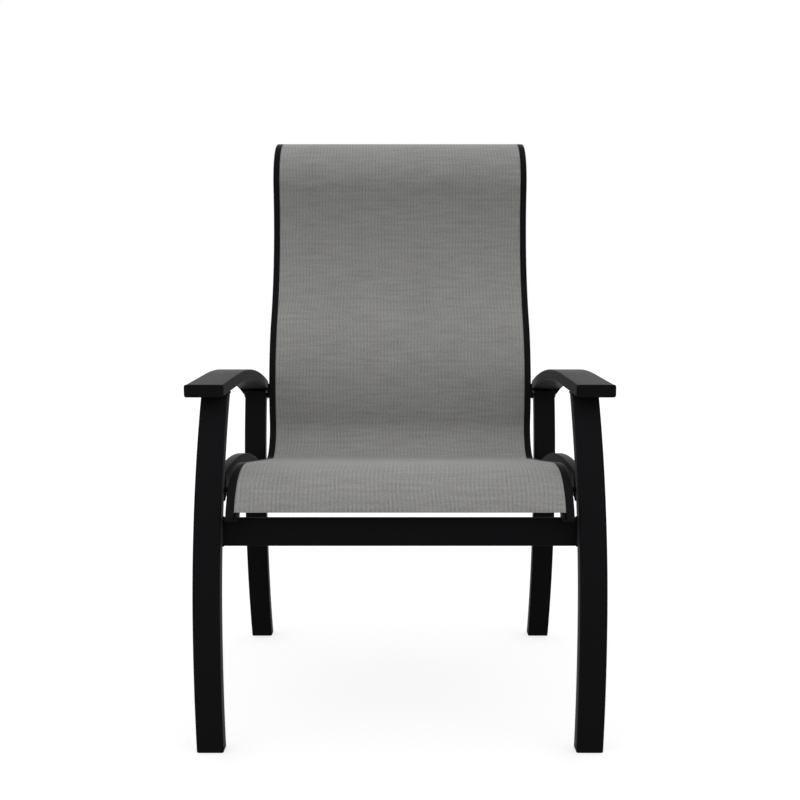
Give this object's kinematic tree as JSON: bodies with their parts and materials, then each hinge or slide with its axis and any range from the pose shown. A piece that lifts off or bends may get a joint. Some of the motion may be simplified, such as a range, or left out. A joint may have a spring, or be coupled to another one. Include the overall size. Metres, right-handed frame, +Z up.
{
  "type": "sling patio chair",
  "caption": "High-backed patio armchair: a taut woven sling in S-curved rails, carried between bowed legs, side rails, crossbars and flat arms that turn down behind the rear legs.",
  "frame": {"origin": "on the floor, under the centre of the whole chair's bounding box", "axes": "+Z up, -Y is the way the chair faces, +X is the sitter's left"},
  "size_m": [0.6684, 0.7726, 1.0538],
  "materials": {
    "frame": "satin black powder coat on extruded and bent tube",
    "sling": "grey vinyl-coated mesh in a linen-like weave",
    "nylon": "moulded black nylon, fine texture",
    "fastener": "blackened stainless steel"
  },
  "bodies": {
    "root": {"front_leg_left": "frame", "front_leg_right": "frame", "rear_leg_left": "frame", "rear_leg_right": "frame", "arm_left": "frame", "arm_right": "frame", "side_rail_left": "frame", "side_rail_right": "frame", "front_crossbar": "frame", "rear_crossbar": "frame", "sling_rail_left": "frame", "sling_rail_right": "frame", "seat_spreader": "frame", "back_spreader": "frame", "top_spreader": "frame", "sling_fabric": "sling", "front_glide_left": "nylon", "front_glide_right": "nylon", "rear_glide_left": "nylon", "rear_glide_right": "nylon", "rear_leg_cap_left": "nylon", "rear_leg_cap_right": "nylon", "arm_cap_left": "nylon", "arm_cap_right": "nylon", "rail_foot_cap_left": "nylon", "rail_foot_cap_right": "nylon", "rail_head_cap_left": "nylon", "rail_head_cap_right": "nylon", "spline_rod_left": "nylon", "spline_rod_right": "nylon", "front_spacer_left": "nylon", "front_spacer_right": "nylon", "rear_spacer_left": "nylon", "rear_spacer_right": "nylon", "seat_spreader_insert_left": "fastener", "seat_spreader_insert_right": "fastener", "back_spreader_insert_left": "fastener", "back_spreader_insert_right": "fastener", "top_spreader_insert_left": "fastener", "top_spreader_insert_right": "fastener", "front_bolt_left": "fastener", "front_bolt_right": "fastener", "rear_bolt_left": "fastener", "rear_bolt_right": "fastener", "rear_cap_nut_left": "fastener", "rear_cap_nut_right": "fastener", "back_spreader_screw_left": "fastener", "back_spreader_screw_right": "fastener", "top_spreader_screw_left": "fastener", "top_spreader_screw_right": "fastener"}
  },
  "joints": []
}
